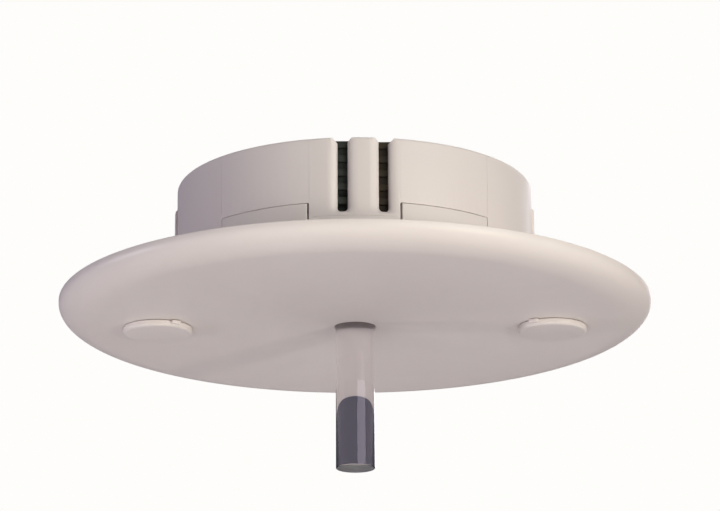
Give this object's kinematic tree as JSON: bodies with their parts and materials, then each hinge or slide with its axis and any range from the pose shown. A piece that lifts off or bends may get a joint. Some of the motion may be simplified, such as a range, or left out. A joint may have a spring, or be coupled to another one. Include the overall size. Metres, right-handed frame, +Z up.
{
  "type": "heat detector",
  "caption": "Ceiling heat detector: round white cover plate with a clear light guide, screw caps, and a slotted housing behind it that holds the board and terminals.",
  "frame": {"origin": "centre of the cover plate's back, on the ceiling's surface", "axes": "+Z up into the ceiling along the light guide's axis, -Y towards the side with the cable slots, X through the two fixing screws"},
  "size_m": [0.18, 0.18, 0.0869],
  "materials": {
    "white_abs": "fine satin moulding",
    "housing_abs": "fine satin moulding",
    "clear_acrylic": "polished clear",
    "spring_steel": "bright",
    "zinc_steel": "zinc plated",
    "seal_rubber": "moulded",
    "board_laminate": "solder mask",
    "led_epoxy": "clear red",
    "bead_epoxy": "dipped",
    "terminal_nylon": "moulded",
    "chip_epoxy": "moulded",
    "capacitor_sleeve": "shrunk sleeve",
    "resistor_lacquer": "dipped"
  },
  "bodies": {
    "plate": {"cover_plate": "white_abs", "light_guide": "clear_acrylic", "retaining_ring": "spring_steel", "housing_can": "housing_abs", "housing_screw_left": "zinc_steel", "housing_screw_right": "zinc_steel", "cable_seal_left": "seal_rubber", "cable_seal_right": "seal_rubber", "circuit_board": "board_laminate", "board_screw_1": "zinc_steel", "board_screw_2": "zinc_steel", "board_screw_3": "zinc_steel", "indicator_led": "led_epoxy", "sensing_thermistor": "bead_epoxy", "reference_thermistor": "bead_epoxy", "terminal_block": "terminal_nylon", "microcontroller": "chip_epoxy", "capacitor_1": "capacitor_sleeve", "capacitor_2": "capacitor_sleeve", "bridge_rectifier": "chip_epoxy", "alarm_thyristor": "chip_epoxy", "resistor_1": "resistor_lacquer", "resistor_2": "resistor_lacquer", "resistor_3": "resistor_lacquer", "resistor_4": "resistor_lacquer"},
    "cap_left": {"screw_cap_left": "white_abs"},
    "cap_right": {"screw_cap_right": "white_abs"},
    "fixing_left": {"fixing_screw_left": "zinc_steel"},
    "fixing_right": {"fixing_screw_right": "zinc_steel"},
    "lid": {"housing_lid": "housing_abs"},
    "terminal_1": {"terminal_screw_1": "zinc_steel"},
    "terminal_2": {"terminal_screw_2": "zinc_steel"},
    "terminal_3": {"terminal_screw_3": "zinc_steel"},
    "terminal_4": {"terminal_screw_4": "zinc_steel"}
  },
  "joints": [
    {"name": "cap_left_pull", "type": "slide", "parent": "plate", "child": "cap_left", "axis": [0, 0, -1], "range_m": [0, 0.012]},
    {"name": "cap_right_pull", "type": "slide", "parent": "plate", "child": "cap_right", "axis": [0, 0, -1], "range_m": [0, 0.012]},
    {"name": "lid_lift", "type": "slide", "parent": "plate", "child": "lid", "axis": [0, 0, 1], "range_m": [0, 0.03]},
    {"name": "fixing_left_turn", "type": "hinge", "parent": "plate", "child": "fixing_left", "pos_m": [-0.06, 0, -0.003], "axis": [0, 0, 1], "continuous": true},
    {"name": "fixing_right_turn", "type": "hinge", "parent": "plate", "child": "fixing_right", "pos_m": [0.06, 0, -0.003], "axis": [0, 0, 1], "continuous": true},
    {"name": "terminal_1_turn", "type": "hinge", "parent": "plate", "child": "terminal_1", "pos_m": [-0.00729, -0.02701, 0.0235], "axis": [0, 0, 1], "continuous": true},
    {"name": "terminal_2_turn", "type": "hinge", "parent": "plate", "child": "terminal_2", "pos_m": [-0.00089, -0.02701, 0.0235], "axis": [0, 0, 1], "continuous": true},
    {"name": "terminal_3_turn", "type": "hinge", "parent": "plate", "child": "terminal_3", "pos_m": [0.00551, -0.02701, 0.0235], "axis": [0, 0, 1], "continuous": true},
    {"name": "terminal_4_turn", "type": "hinge", "parent": "plate", "child": "terminal_4", "pos_m": [0.01191, -0.02701, 0.0235], "axis": [0, 0, 1], "continuous": true}
  ]
}
